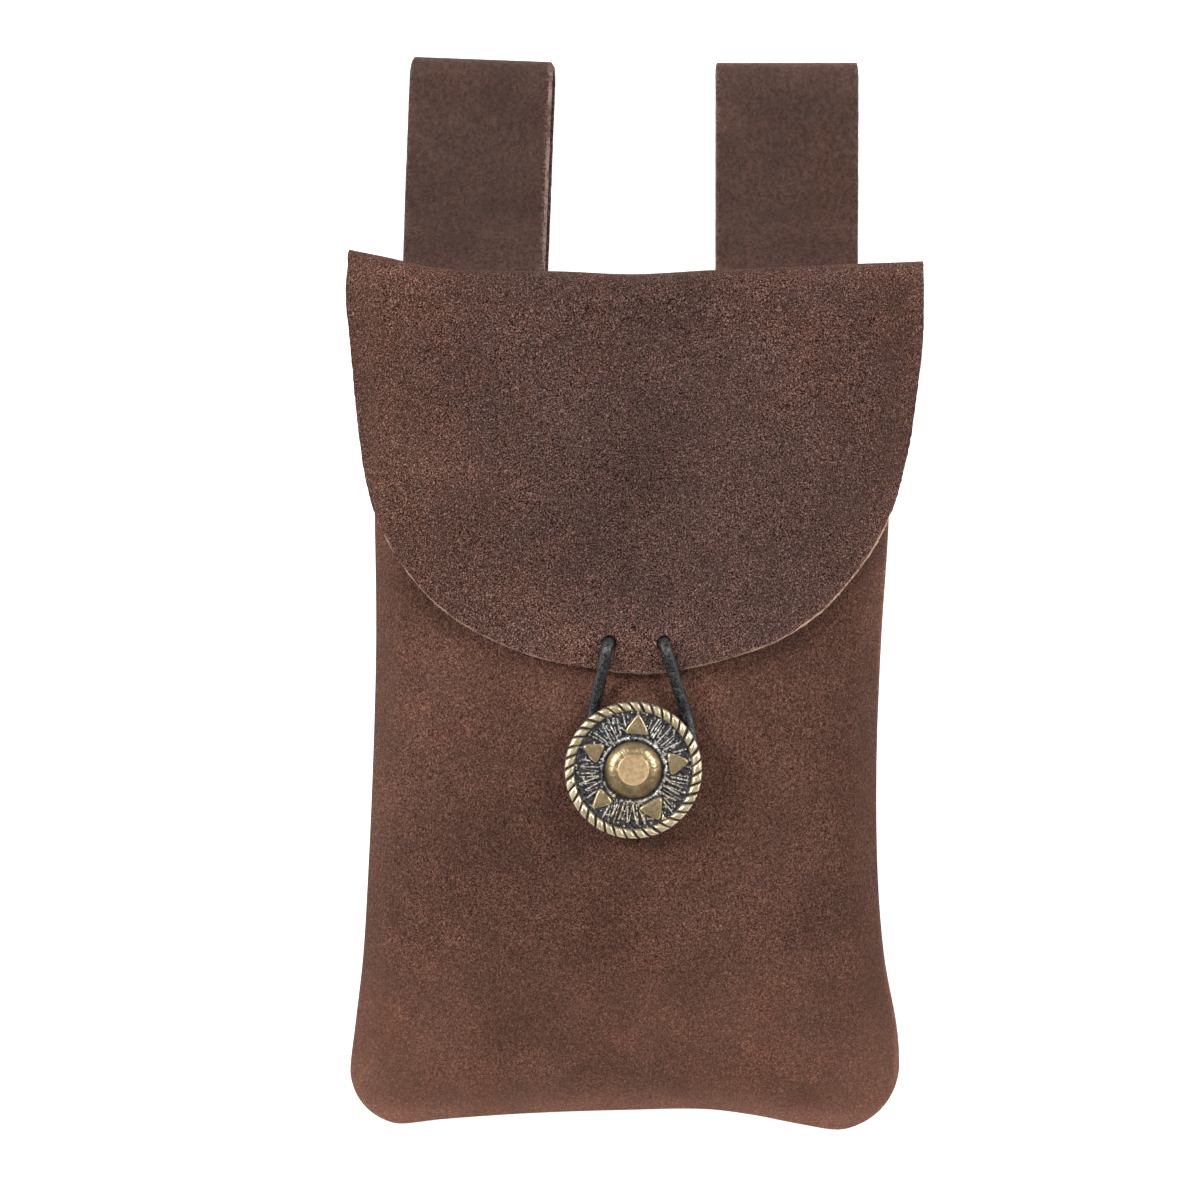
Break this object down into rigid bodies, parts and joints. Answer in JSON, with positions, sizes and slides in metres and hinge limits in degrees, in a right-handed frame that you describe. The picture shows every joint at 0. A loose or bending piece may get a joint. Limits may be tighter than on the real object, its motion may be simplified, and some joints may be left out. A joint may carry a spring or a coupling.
{
  "type": "belt pouch",
  "caption": "Turned suede leather belt pouch with a long curved flap, two belt loops behind it and a cord that hooks over a cast brass button; lies on its back, closed.",
  "frame": {"origin": "middle of the back panel's flat underside, on the surface that the pouch lies on", "axes": "+X to the right as seen from the front, +Y up the pouch towards the belt, +Z out of the front"},
  "size_m": [0.1275, 0.2362, 0.0356],
  "materials": {
    "suede": "brown suede with a coarse nap, mottled, paler at the cut edges",
    "strap_suede": "smoother, slightly greyer brown suede",
    "cord": "black leather cord, worn grey on its highlights",
    "brass": "antique brass with dark patina in the recesses"
  },
  "bodies": {
    "root": {"front_panel": "suede", "back_panel_and_flap": "suede", "belt_loop_left": "strap_suede", "belt_loop_right": "strap_suede", "closure_cord": "cord", "button": "brass", "button_screw": "brass"}
  },
  "joints": []
}
